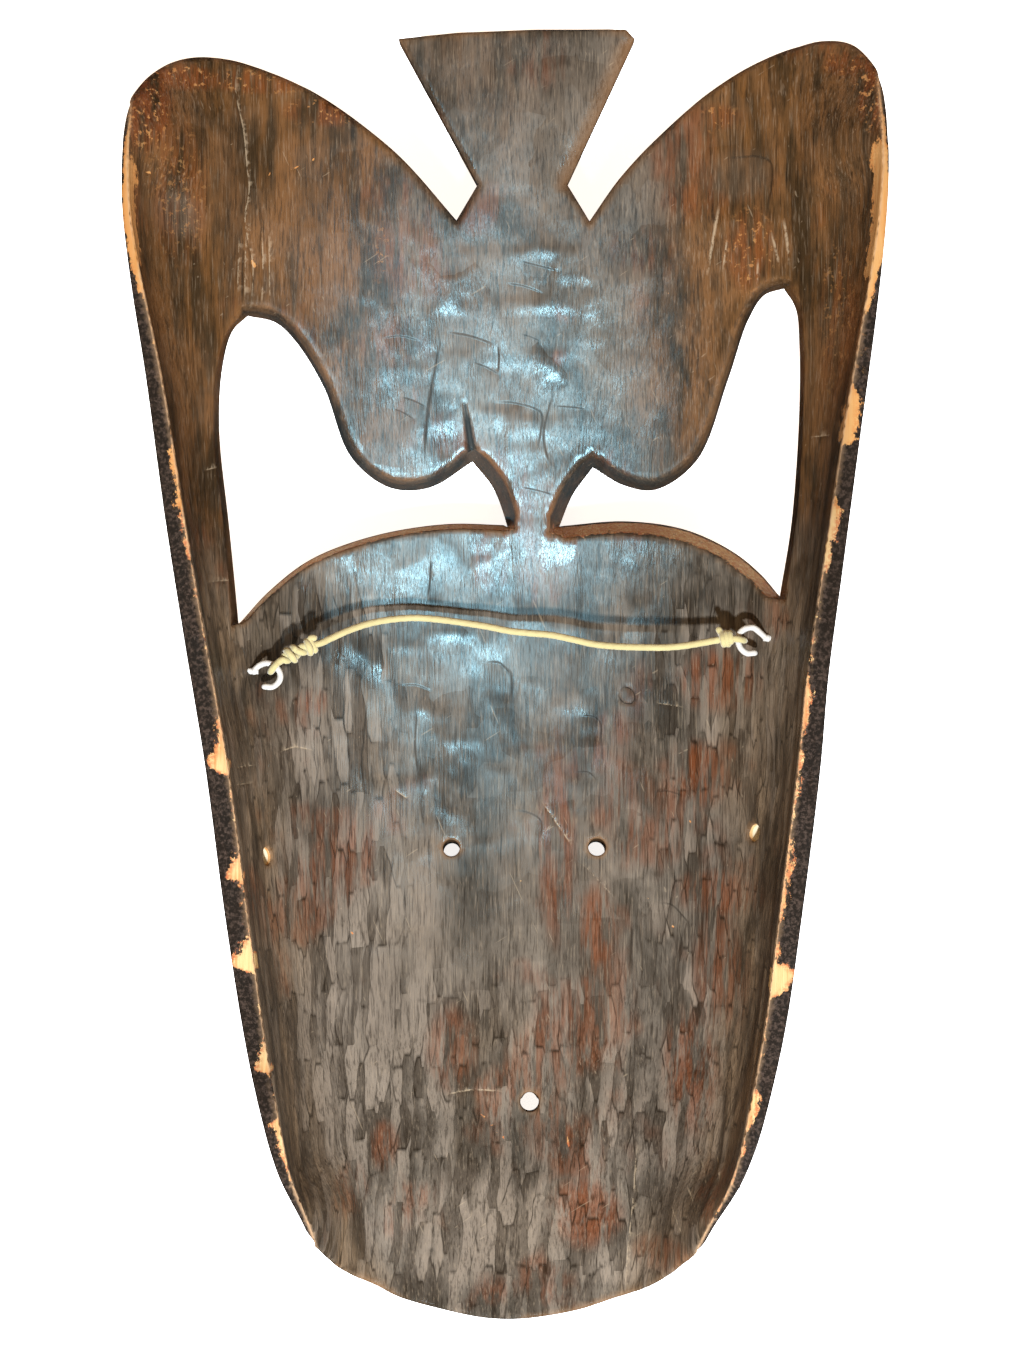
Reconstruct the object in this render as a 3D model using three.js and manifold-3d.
// A carved wooden face mask with an openwork crest, lying on its carved front with its hollow back up.
// Millimetres. X runs across, Y from the chin to the crest, Z up from the surface that it lies on.
// The origin is on that surface, under the middle of the mask.
import * as THREE from 'three';
import { mergeVertices } from 'three/addons/utils/BufferGeometryUtils.js';
import Module from 'manifold-3d';

const wasm = await Module();
wasm.setup();

// The shell.
const RIM_HEIGHT = 125; // the flat rim that meets a wall, above the surface it lies on
const RIM_EDGE = 3; // the rim's outer side is square for this far
const SHELL_LENGTH = 660; // longer than the mask, and cut to its outline
const SIDE_SPARE = 200; // the outline leaves the shell's own sides alone out to here
const COLUMNS = 20;
const ROWS = 30;

// The rim's outer edges as [y, x].
const LEFT_EDGE = [
  [-330, -66], [-290, -86], [-260, -95.5], [-234, -106], [-205, -114], [-174, -120.7], [-115, -130.2],
  [-41, -140.1], [19, -150], [71, -158.2], [141, -167.8], [184, -174.6], [217, -178.4], [245, -179],
  [330, -179],
];
const RIGHT_EDGE = [
  [-330, 66], [-290, 86], [-262, 98], [-240, 109.4], [-220, 117], [-195, 123.8], [-163, 130.7],
  [-118, 137.3], [-42, 146.8], [0, 150.5], [49, 157], [109, 164.9], [172, 173.2], [217, 177.7], [245, 179],
  [330, 179],
];
// The width of the flat rim as [y, width]: it narrows to its two ends.
const RIM = [[-330, 2], [-264, 3], [-235, 6], [-200, 9], [100, 9], [160, 7], [215, 4], [330, 3.5]];
// The hollow as [y, depth at its middle, power of its section, thickness of the wood at its middle].
const HOLLOW = [
  [-330, 60, 2.6, 12], [-300, 66, 2.6, 13], [-240, 78, 2.8, 14], [-170, 88, 3, 14], [-60, 92, 3, 14],
  [40, 90, 2.9, 14], [90, 84, 2.7, 14], [180, 72, 2.4, 15], [260, 64, 2.3, 15], [330, 58, 2.3, 14],
];

// The outline above and below the straight sides, as runs of points [x, y].
const LEFT_LOBE = [
  [-179, 244], [-175.5, 262], [-165.5, 283.5], [-145, 296], [-118, 292.6], [-85, 278.5], [-52, 253.5],
  [-24, 222.5],
];
const RIGHT_LOBE = [
  [41, 222], [56, 243], [77.5, 265.5], [101, 284.5], [124, 297], [147, 302.8], [162.5, 298], [173.5, 277.5],
  [179, 250],
];
const FLARE = [[-13.5, 240], [-52, 309.5], [-23.5, 312.5], [14, 314], [58.5, 314], [62.8, 309.5], [30, 240]];
const CHIN = [
  [109, -245], [95.3, -263.2], [87.3, -276.5], [81, -284.2], [63, -296.4], [51.4, -302.8], [37, -308.5],
  [23, -312], [6, -313.9], [-5, -313.9], [-17, -312.5], [-44.5, -304.7], [-53.6, -301], [-65.5, -292.2],
  [-80.5, -282.3], [-86, -272.7], [-93.8, -257.6], [-101.5, -245],
];
const LOBE_STEPS = 16;
const CHIN_STEPS = 20;

// The windows, each a round of runs [points, steps, lean]. The points are on the front edge of the cut,
// and the lean is how far the cut draws back into the wood for each millimetre up to the back edge.
const LEFT_WINDOW = [
  [[[-131, 25], [-135.2, 72], [-139.5, 121], [-137.5, 152], [-133, 168], [-126, 175.5]], 9, 0],
  [
    [
      [-126, 175.5], [-113, 173], [-104, 165], [-90, 142.5], [-77, 108.5], [-58, 93.5], [-38, 93.5],
      [-16.5, 106.5],
    ],
    18, 0.15,
  ],
  [[[-16.5, 106.5], [-6, 93], [1, 75]], 4, 0.45],
  [[[1, 75], [-30, 75.5], [-66, 69.5], [-97, 57.5], [-117, 41.5], [-131, 25]], 10, 0.25],
];
const RIGHT_WINDOW = [
  [[[134.5, 38.5], [139.6, 74], [142.8, 126], [142.8, 160], [141, 178], [135.5, 188]], 9, 0],
  [
    [
      [135.5, 188], [126.5, 185.5], [119, 174], [109.5, 145], [95, 106.5], [75, 92.3], [59, 94.5],
      [43.5, 103.5],
    ],
    18, 0.15,
  ],
  [[[43.5, 103.5], [33, 89], [27, 74.5]], 4, 0.45],
  [[[27, 74.5], [60, 76.8], [89, 72.5], [112, 61.5], [126, 49.5], [134.5, 38.5]], 10, 0.5],
];
// A narrow gash in the left wing where it meets the neck: its tip and its width and depth at the foot.
const GASH = { tip: [-20, 131], foot: [-15, 104], width: 6, depth: 8 };

// Drilled holes: two for the eyes and one for the mouth go straight through the face, and a strap
// hole goes sideways through each cheek.
const EYES = [[-27, -86, 4.2], [45.5, -85.5, 4.4]];
const MOUTH = [12, -211, 4.7];
const STRAP_HOLES = [[-117, -87.5, 74, 4.3], [122, -76.5, 69, 4.3]];
const STRAP_DRILL = 80; // long enough to go through a cheek and not the other
const HOLE_SIDES = 16;

// Carving on the front, about the line midway between the eyes. A band's changing width or height is
// given as [way along it from 0 to 1, size].
const FACE_X = (EYES[0][0] + EYES[1][0]) / 2;
const EYE_Y = EYES[0][1];
const BURIED = 3; // how far carving is sunk in the shell, so that the two join
const BIRD = {
  line: [[12, 150], [14, 100], [11.25, 40], [9.25, -36]],
  width: [[0, 20], [0.3, 27], [0.45, 30], [0.72, 54], [0.9, 34], [1, 12]],
  height: [[0, 2], [0.25, 20], [0.5, 27], [0.8, 24], [1, 6]],
};
const NOSE = {
  top: -42,
  foot: -160,
  width: [[0, 20], [0.6, 30], [0.86, 50], [1, 40]],
  height: [[0, 8], [0.5, 20], [0.9, 26], [1, 12]],
};
const BROW = { line: [[12, 26], [40, 34], [72, 18]], width: 15, height: 8 }; // from FACE_X and EYE_Y
const LID = { reach: 22, width: 20, height: 7 };
const LIP = { reach: 32, width: 17, height: 11, apart: 8, droop: 2 };
const CHIN_BOSS = { line: [[-30, -258], [0, -266], [30, -258]], width: 34, height: 14 };

// Feather lines on the front. A wing's lowest line is its highest one moved down, each point [x, y, share].
const LEFT_FEATHERS = [[-44, 222, 1], [-82, 246, 0.9], [-116, 258, 0.8], [-146, 250, 0.4]];
const RIGHT_FEATHERS = [[62, 222, 1], [92, 246, 0.9], [122, 260, 0.8], [150, 252, 0.4]];
const FEATHER_DROPS = [0, 26, 52];
const TAIL_FEATHERS = [
  [[0, 248], [-8, 272], [-22, 300]],
  [[8, 248], [8, 272], [6, 300]],
  [[16, 248], [24, 272], [34, 300]],
];
const FEATHER_CUT = { width: 5, depth: 3 };

// Hooks and cord.
const WIRE = 1.5; // radius of a hook's coated wire
const HOOK_HEIGHT = 68;
const HOOK_SINK = 8; // how far a shank goes into the wood
const HOOK_STEPS = 14;
const COLLAR = { radius: 2.6, thick: 1.2, sides: 12 };
const WALL_LEAN = 1; // how far the inner wall runs in for each millimetre down at the hooks, at most
const GAP = 0.35; // between pieces that touch
const LEFT_HOOK = [
  [-122.9, 1.9], [-119.4, 4.7], [-116, 5.8], [-111.9, 4.4], [-109.4, 0.5], [-109.9, -2.9], [-112.9, -5.6],
  [-117, -5.6],
];
const RIGHT_HOOK = [
  [126.7, 17.9], [123.8, 20.4], [120.4, 22.9], [117, 22.7], [113.9, 20.6], [112.9, 17], [114.1, 13.1],
  [117, 10.7], [120.9, 10.7],
];
const CORD = 1.65; // radius
const CORD_SIDES = 8;
const CORD_STEPS = 28;
const CORD_ROUTE = [
  [-89, 15.8], [-83, 18.8], [-76, 22], [-67, 25.1], [-57, 27.1], [-45, 28.1], [-33, 27.3], [-21, 25.7],
  [-9, 23.8], [2, 21.6], [12, 20.5], [22, 19.6], [32, 17.6], [43, 15.1], [55, 13.9], [67, 13.5], [77, 13.4],
  [87, 14.2], [95.5, 15.6], [103.5, 17],
];
// How high the cord lies as [x, z]: it droops from the hooks, lowest left of the middle.
const CORD_HEIGHTS = [
  [-89, 66], [-78, 61.5], [-65, 56.2], [-50, 52], [-35, 50.2], [-20, 50.6], [0, 53], [20, 56], [45, 59.8],
  [70, 63], [103.5, 66.5],
];
const KNOT_SIDES = 6;
const RING_STEPS = 12;
const STRAND_STEPS = 8;
const STRAND_APART = 0.85 * CORD; // from a twisted pair's middle to each strand's
const LOOP_SPARE = 0.6; // how loosely a loop goes round its hook
// The knots. Each off is from the point of the hook that carries the knot.
const LEFT_KNOT = {
  bend: 3,
  loop: { off: [0.3, 0.3, 0], axis: [0.78, -0.63, 0] },
  pair: { off: [3, 3.2, 0], end: [17.4, 9.1, -1.5], turns: 1.5 },
  bulge: { off: [15.9, 8.3, -1.4], axis: [0.85, 0.5, 0], radius: 1.6 * CORD },
};
const RIGHT_KNOT = {
  bend: 5,
  loop: { off: [-0.3, 0.3, 0], axis: [0.15, 1, 0] },
  bulge: { off: [-5.6, 0.6, -0.4], axis: [1, 0.2, 0], radius: 1.5 * CORD },
  heart: { off: [-4.8, 0.5, -0.2], radius: 1.6 * CORD },
  pair: { off: [-4.8, 0.5, 0], end: [-8.4, 0.1, -0.6], turns: 0.4 },
};

const wood = new THREE.MeshStandardMaterial({ color: 0x4a3426, roughness: 0.55, metalness: 0 });
const vinyl = new THREE.MeshStandardMaterial({ color: 0xf2f1ec, roughness: 0.35, metalness: 0 });
const fibre = new THREE.MeshStandardMaterial({ color: 0xe9dca2, roughness: 0.85, metalness: 0 });

// A smooth curve through stations sorted by their first value, read at one place in one column.
function track(stations, at, column = 1) {
  const last = stations.length - 2;
  let i = 0;
  while (i < last && at > stations[i + 1][0]) {
    i += 1;
  }
  const [a, b] = [stations[i], stations[i + 1]];
  const slope = (p, q) => (q[column] - p[column]) / (q[0] - p[0]);
  const here = slope(a, b);
  const before = i > 0 ? slope(stations[i - 1], a) : here;
  const after = i < last ? slope(b, stations[i + 2]) : here;
  const span = b[0] - a[0];
  const t = (at - a[0]) / span;
  const start = (1 + 2 * t) * (1 - t) ** 2 * a[column] + t * (1 - t) ** 2 * span * (before + here) / 2;
  const end = t * t * (3 - 2 * t) * b[column] - t * t * (1 - t) * span * (here + after) / 2;
  return start + end;
}

// The section of the shell at y: its two sides, its depth below the rim and its power.
function section(y, front) {
  const inset = front ? 0 : track(RIM, y);
  return {
    left: track(LEFT_EDGE, y) + inset,
    right: track(RIGHT_EDGE, y) - inset,
    depth: track(HOLLOW, y, 1) + (front ? track(HOLLOW, y, 3) : 0),
    power: track(HOLLOW, y, 2),
  };
}

// The height of the front or back surface over a point of the plan.
function surfaceHeight(x, y, front) {
  const { left, right, depth, power } = section(y, front);
  const out = Math.abs((2 * x - left - right) / (right - left));
  return RIM_HEIGHT - depth * Math.max(0, 1 - out ** power) ** (1 / power);
}

function solidOf(positions, indices) {
  let volume = 0;
  const at = (i) => new THREE.Vector3().fromArray(positions, 3 * i);
  for (let i = 0; i < indices.length; i += 3) {
    volume += at(indices[i]).dot(at(indices[i + 1]).cross(at(indices[i + 2])));
  }
  const triVerts = Uint32Array.from(volume < 0 ? indices.toReversed() : indices);
  const vertProperties = Float32Array.from(positions);
  return new wasm.Manifold(new wasm.Mesh({ numProp: 3, vertProperties, triVerts }));
}

function solidFrom(geometry) {
  geometry.deleteAttribute('normal');
  geometry.deleteAttribute('uv');
  const merged = mergeVertices(geometry, 1e-4);
  return solidOf(Array.from(merged.attributes.position.array), Array.from(merged.index.array));
}

// A closed solid through rings of points that have the same count, closed by the given triangles.
function loft(rings, capTriangles) {
  const count = rings[0].length;
  const indices = [];
  for (let r = 0; r + 1 < rings.length; r += 1) {
    for (let i = 0; i < count; i += 1) {
      const [a, b] = [r * count + i, r * count + (i + 1) % count];
      indices.push(a, b, b + count, a, b + count, a + count);
    }
  }
  const top = (rings.length - 1) * count;
  for (const [a, b, c] of capTriangles) {
    indices.push(a, c, b, top + a, top + b, top + c);
  }
  return solidOf(rings.flat().flatMap((p) => [p.x, p.y, p.z]), indices);
}

function fan(count) {
  return Array.from({ length: count - 2 }, (_, i) => [0, i + 1, i + 2]);
}

// Evenly spaced points on a smooth curve through the given ones, without the last.
function curvePoints(points, steps) {
  const curve = new THREE.SplineCurve(points.map(([x, y]) => new THREE.Vector2(x, y)));
  return curve.getSpacedPoints(steps).slice(0, -1);
}

function makeShell() {
  const box = new THREE.BoxGeometry(1, 1, 1, COLUMNS, ROWS, 2);
  const place = box.attributes.position;
  for (let i = 0; i < place.count; i += 1) {
    const turn = place.getX(i) * Math.PI;
    const y = place.getY(i) * SHELL_LENGTH;
    const atRim = Math.abs(place.getX(i)) > 0.499;
    const point = (front) => {
      const { left, right, depth, power } = section(y, front);
      const out = Math.sign(turn) * Math.abs(Math.sin(turn)) ** (2 / power);
      const down = depth * Math.max(0, Math.cos(turn)) ** (2 / power);
      const lowered = front ? Math.max(down, RIM_EDGE) : down;
      return new THREE.Vector3((left + right) / 2 + out * (right - left) / 2, y, RIM_HEIGHT - lowered);
    };
    const back = point(false);
    const front = point(true);
    let at = place.getZ(i) > 0 ? back : front;
    if (Math.abs(place.getZ(i)) < 0.1) {
      at = atRim ? front.clone().setZ(RIM_HEIGHT) : back.clone().lerp(front, 0.5);
    }
    place.setXYZ(i, at.x, at.y, at.z);
  }
  return solidFrom(box);
}

function makeOutline() {
  const outline = [
    new THREE.Vector2(-SIDE_SPARE, CHIN.at(-1)[1]),
    new THREE.Vector2(-SIDE_SPARE, LEFT_LOBE[0][1]),
    ...curvePoints(LEFT_LOBE, LOBE_STEPS),
    new THREE.Vector2(...LEFT_LOBE.at(-1)),
    ...FLARE.map(([x, y]) => new THREE.Vector2(x, y)),
    ...curvePoints(RIGHT_LOBE, LOBE_STEPS),
    new THREE.Vector2(...RIGHT_LOBE.at(-1)),
    new THREE.Vector2(SIDE_SPARE, RIGHT_LOBE.at(-1)[1]),
    new THREE.Vector2(SIDE_SPARE, CHIN[0][1]),
    ...curvePoints(CHIN, CHIN_STEPS),
    new THREE.Vector2(...CHIN.at(-1)),
  ];
  const depth = 2 * RIM_HEIGHT;
  const prism = new THREE.ExtrudeGeometry(new THREE.Shape(outline), { depth, bevelEnabled: false });
  prism.translate(0, 0, -RIM_HEIGHT / 2);
  return solidFrom(prism);
}

// What a window removes: upright below the front edge and above the back one, and leaning between them.
function windowCut(runs) {
  const round = runs.flatMap(([points, steps, lean]) => curvePoints(points, steps).map((p) => ({ p, lean })));
  const loop = round.map(({ p, lean }, i) => ({ p, lean: (lean + round.at(i - 1).lean) / 2 }));
  if (THREE.ShapeUtils.isClockWise(loop.map(({ p }) => p))) {
    loop.reverse();
  }
  const rings = [[], [], [], []];
  loop.forEach(({ p, lean }, i) => {
    const along = loop[(i + 1) % loop.length].p.clone().sub(loop.at(i - 1).p).normalize();
    const thick = track(HOLLOW, p.y, 3);
    const back = new THREE.Vector2(along.y, -along.x).multiplyScalar(thick * lean).add(p);
    const backHeight = surfaceHeight(back.x, back.y, false);
    rings[0].push(new THREE.Vector3(p.x, p.y, -RIM_HEIGHT / 2));
    rings[1].push(new THREE.Vector3(p.x, p.y, backHeight - thick));
    rings[2].push(new THREE.Vector3(back.x, back.y, backHeight));
    rings[3].push(new THREE.Vector3(back.x, back.y, RIM_HEIGHT * 1.5));
  });
  return loft(rings, THREE.ShapeUtils.triangulateShape(loop.map(({ p }) => p.clone()), []));
}

function gashCut() {
  const ring = (rise) => [
    [GASH.tip[0], GASH.tip[1]],
    [GASH.foot[0] - GASH.width / 2, GASH.foot[1]],
    [GASH.foot[0] + GASH.width / 2, GASH.foot[1]],
  ].map(([x, y]) => new THREE.Vector3(x, y, surfaceHeight(...GASH.foot, false) + rise));
  return loft([ring(-GASH.depth), ring(RIM_HEIGHT)], fan(3));
}

// A strip of carving along a line on the front. Its profile is given across the line as
// [side, height], with heights standing out from the surface, and nothing goes below the resting plane.
function strip(line, steps, profileAt) {
  const curve = new THREE.SplineCurve(line.map(([x, y]) => new THREE.Vector2(x, y)));
  const rings = [];
  for (let i = 0; i <= steps; i += 1) {
    const middle = curve.getPointAt(i / steps);
    const along = curve.getTangentAt(i / steps);
    rings.push(profileAt(i / steps).map(([side, height]) => {
      const x = middle.x - side * along.y;
      const y = middle.y + side * along.x;
      return new THREE.Vector3(x, y, Math.max(0, surfaceHeight(x, y, true) - height));
    }));
  }
  return loft(rings, fan(rings[0].length));
}

// A rounded band whose width and height swell from its ends, or follow the given stations.
function band(line, width, height, steps = 8, flat = 0.45) {
  const swell = (t) => Math.sin(Math.PI * (0.08 + 0.84 * t)) ** 0.5;
  const read = (size, t) => (Array.isArray(size) ? track(size, t) : size * swell(t));
  return strip(line, steps, (t) => {
    const [w, h] = [read(width, t) / 2, read(height, t)];
    const half = [[flat * w, h], [0.8 * w, 0.6 * h], [w, -BURIED]];
    return [...half.toReversed().map(([side, height]) => [-side, height]), ...half];
  });
}

function groove(line, width, depth, steps = 6) {
  return strip(line, steps, (t) => {
    const d = depth * Math.sin(Math.PI * (0.06 + 0.88 * t)) ** 0.5;
    return [[-width / 2, 1], [0, -d], [width / 2, 1], [0, 2 * BURIED]];
  });
}

// The carved front: a crest bird's neck and head on the brow, brows, lids, nose, lips and chin.
function carving() {
  const bird = band(BIRD.line, BIRD.width, BIRD.height, 12, 0.75);
  const nose = band([[FACE_X, NOSE.top], [FACE_X, NOSE.foot]], NOSE.width, NOSE.height, 8, 0.5);
  const brows = [-1, 1].map((side) => {
    const line = BROW.line.map(([out, rise]) => [FACE_X + side * out, EYE_Y + rise]);
    return band(line, BROW.width, BROW.height);
  });
  const lids = EYES.map(([x, y]) => {
    const line = [[x - LID.reach, y], [x + LID.reach, y]];
    return band(line, LID.width, LID.height, 8, 0.6);
  });
  const lips = [-1, 1].map((side) => {
    const y = MOUTH[1] + side * LIP.apart;
    const line = [-1, 0, 1].map((way) => [FACE_X + way * LIP.reach, y - side * Math.abs(way) * LIP.droop]);
    return band(line, LIP.width, LIP.height, 8, 0.5);
  });
  const chinLine = CHIN_BOSS.line.map(([x, y]) => [FACE_X + x, y]);
  const chin = band(chinLine, CHIN_BOSS.width, CHIN_BOSS.height, 8, 0.5);
  return [bird, nose, ...brows, ...lids, ...lips, chin];
}

function featherLines() {
  const wings = [LEFT_FEATHERS, RIGHT_FEATHERS].flatMap((points) =>
    FEATHER_DROPS.map((drop) => points.map(([x, y, share]) => [x, y - share * drop])));
  return [...wings, ...TAIL_FEATHERS].map((line) => groove(line, FEATHER_CUT.width, FEATHER_CUT.depth));
}

function drill(x, y, z, radius, length, sideways) {
  const rod = new THREE.CylinderGeometry(radius, radius, length, HOLE_SIDES);
  if (sideways) {
    rod.rotateZ(Math.PI / 2);
  } else {
    rod.rotateX(Math.PI / 2);
  }
  rod.translate(x, y, z);
  return solidFrom(rod);
}

// Where the inner wall stands at the hooks' height, on the left or the right.
function wallAt(y, side, height) {
  const { left, right, depth, power } = section(y, false);
  const out = (1 - ((RIM_HEIGHT - height) / depth) ** power) ** (1 / power);
  return (left + right) / 2 + side * out * (right - left) / 2;
}

// A round rod of wire or cord along a smooth curve.
function rod(points, radius, sides, steps) {
  const turn = (i) => (2 * Math.PI * i) / sides;
  const ring = Array.from({ length: sides }, (_, i) =>
    new THREE.Vector2(radius * Math.cos(turn(i)), radius * Math.sin(turn(i))));
  const line = points.map((p) => new THREE.Vector3(...p));
  const extrudePath = new THREE.CatmullRomCurve3(line, false, 'centripetal');
  return new THREE.ExtrudeGeometry(new THREE.Shape(ring), { steps, extrudePath, bevelEnabled: false });
}

function hook(bend, side) {
  const [, y] = bend[0];
  const wall = wallAt(y, side, HOOK_HEIGHT);
  const shank = [wall + side * HOOK_SINK, wall].map((x) => [x, y, HOOK_HEIGHT]);
  const path = [...shank, ...bend.map((p) => [...p, HOOK_HEIGHT])];
  const lean = COLLAR.radius * WALL_LEAN;
  const collar = new THREE.CylinderGeometry(COLLAR.radius, COLLAR.radius, COLLAR.thick, COLLAR.sides);
  collar.rotateZ(Math.PI / 2);
  collar.translate(wall - side * (lean + GAP + COLLAR.thick / 2), y, HOOK_HEIGHT);
  return solidFrom(rod(path, WIRE, 8, HOOK_STEPS)).add(solidFrom(collar));
}

function pilotHole(bend, side) {
  const [, y] = bend[0];
  const wall = wallAt(y, side, HOOK_HEIGHT);
  const length = 2 * (HOOK_SINK + GAP);
  return drill(wall, y, HOOK_HEIGHT, WIRE + GAP, length, true);
}

function makeMask() {
  let mask = makeShell().intersect(makeOutline());
  for (const piece of carving()) {
    mask = mask.add(piece);
  }
  const cuts = [windowCut(LEFT_WINDOW), windowCut(RIGHT_WINDOW), gashCut(), ...featherLines()];
  for (const [x, y, radius] of [...EYES, MOUTH]) {
    cuts.push(drill(x, y, RIM_HEIGHT / 2, radius, RIM_HEIGHT * 2, false));
  }
  for (const [x, y, z, radius] of STRAP_HOLES) {
    cuts.push(drill(x, y, z, radius, STRAP_DRILL, true));
  }
  cuts.push(pilotHole(LEFT_HOOK, -1), pilotHole(RIGHT_HOOK, 1));
  for (const cut of cuts) {
    mask = mask.subtract(cut);
  }
  return mask;
}

function ringOf(centre, axis, radius) {
  const ring = new THREE.TorusGeometry(radius, CORD, KNOT_SIDES, RING_STEPS);
  const turn = new THREE.Quaternion().setFromUnitVectors(new THREE.Vector3(0, 0, 1), axis.normalize());
  ring.applyQuaternion(turn);
  ring.translate(...centre);
  return solidFrom(ring);
}

// Two strands of cord laid round each other from one point to another.
function twist(from, to, turns) {
  const [a, b] = [new THREE.Vector3(...from), new THREE.Vector3(...to)];
  const along = b.clone().sub(a);
  const side = new THREE.Vector3(0, 0, 1).cross(along).normalize();
  const up = side.clone().cross(along).normalize();
  const strands = [0, Math.PI].map((start) => {
    const points = Array.from({ length: STRAND_STEPS + 1 }, (_, i) => {
      const way = i / STRAND_STEPS;
      const angle = start + 2 * Math.PI * turns * way;
      const off = side.clone().multiplyScalar(Math.cos(angle)).addScaledVector(up, Math.sin(angle));
      return a.clone().addScaledVector(along, way).addScaledVector(off, STRAND_APART).toArray();
    });
    return solidFrom(rod(points, CORD, KNOT_SIDES, STRAND_STEPS + 1));
  });
  const core = solidFrom(rod([from, to], CORD, KNOT_SIDES, 1));
  return strands.reduce((joined, strand) => joined.add(strand), core);
}

// A loop on the hook, a twisted pair of strands and a bulge, and for a short knot a round heart.
function knot(bend, { bend: which, loop, pair, bulge, heart }) {
  const at = (off) => [bend[which][0] + off[0], bend[which][1] + off[1], HOOK_HEIGHT + off[2]];
  const parts = [
    ringOf(at(loop.off), new THREE.Vector3(...loop.axis), WIRE + GAP + CORD + LOOP_SPARE),
    twist(at(pair.off), at(pair.end), pair.turns),
    ringOf(at(bulge.off), new THREE.Vector3(...bulge.axis), bulge.radius),
  ];
  if (heart) {
    const ball = new THREE.SphereGeometry(heart.radius, 10, 6);
    ball.translate(...at(heart.off));
    parts.push(solidFrom(ball));
  }
  return parts.reduce((joined, part) => joined.add(part));
}

function cordPoints() {
  return CORD_ROUTE.map(([x, y]) => [x, y, track(CORD_HEIGHTS, x)]);
}

function geometryOf(solid) {
  const { numProp, vertProperties, triVerts } = solid.getMesh();
  const geometry = new THREE.BufferGeometry();
  geometry.setAttribute('position', new THREE.BufferAttribute(vertProperties, numProp));
  geometry.setIndex(new THREE.BufferAttribute(triVerts, 1));
  geometry.computeVertexNormals();
  return geometry;
}

const mask = new THREE.Group();

function addPiece(name, geometry, material) {
  const mesh = new THREE.Mesh(geometry, material.clone());
  mesh.name = name;
  mask.add(mesh);
}

addPiece('carved_mask', geometryOf(makeMask()), wood);
addPiece('cup_hook_left', geometryOf(hook(LEFT_HOOK, -1)), vinyl);
addPiece('cup_hook_right', geometryOf(hook(RIGHT_HOOK, 1)), vinyl);
addPiece('hanging_cord', rod(cordPoints(), CORD, CORD_SIDES, CORD_STEPS), fibre);
addPiece('knot_left', geometryOf(knot(LEFT_HOOK, LEFT_KNOT)), fibre);
addPiece('knot_right', geometryOf(knot(RIGHT_HOOK, RIGHT_KNOT)), fibre);

export default mask;
